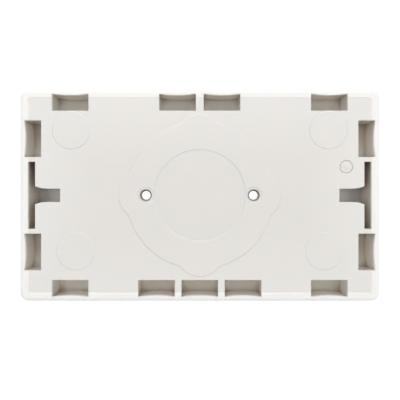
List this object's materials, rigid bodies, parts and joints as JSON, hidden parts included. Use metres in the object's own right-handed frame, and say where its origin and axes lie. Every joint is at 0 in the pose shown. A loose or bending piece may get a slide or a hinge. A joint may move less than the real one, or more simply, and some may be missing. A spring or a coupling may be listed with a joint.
{
  "type": "surface mount box",
  "caption": "Two-gang surface mount back box in one moulding: open front, knock-out windows round the back, faceplate screw pillars and wall fixing holes.",
  "frame": {"origin": "centre of the open front rim, which is the plane that the box lies on face down", "axes": "+X along the length, +Y across it towards the row of four windows, +Z out of the back that goes against the wall"},
  "size_m": [0.146, 0.086, 0.032],
  "materials": {
    "moulded_plastic": "warm white moulded plastic, fine satin"
  },
  "bodies": {
    "root": {"box_body": "moulded_plastic"}
  },
  "joints": []
}
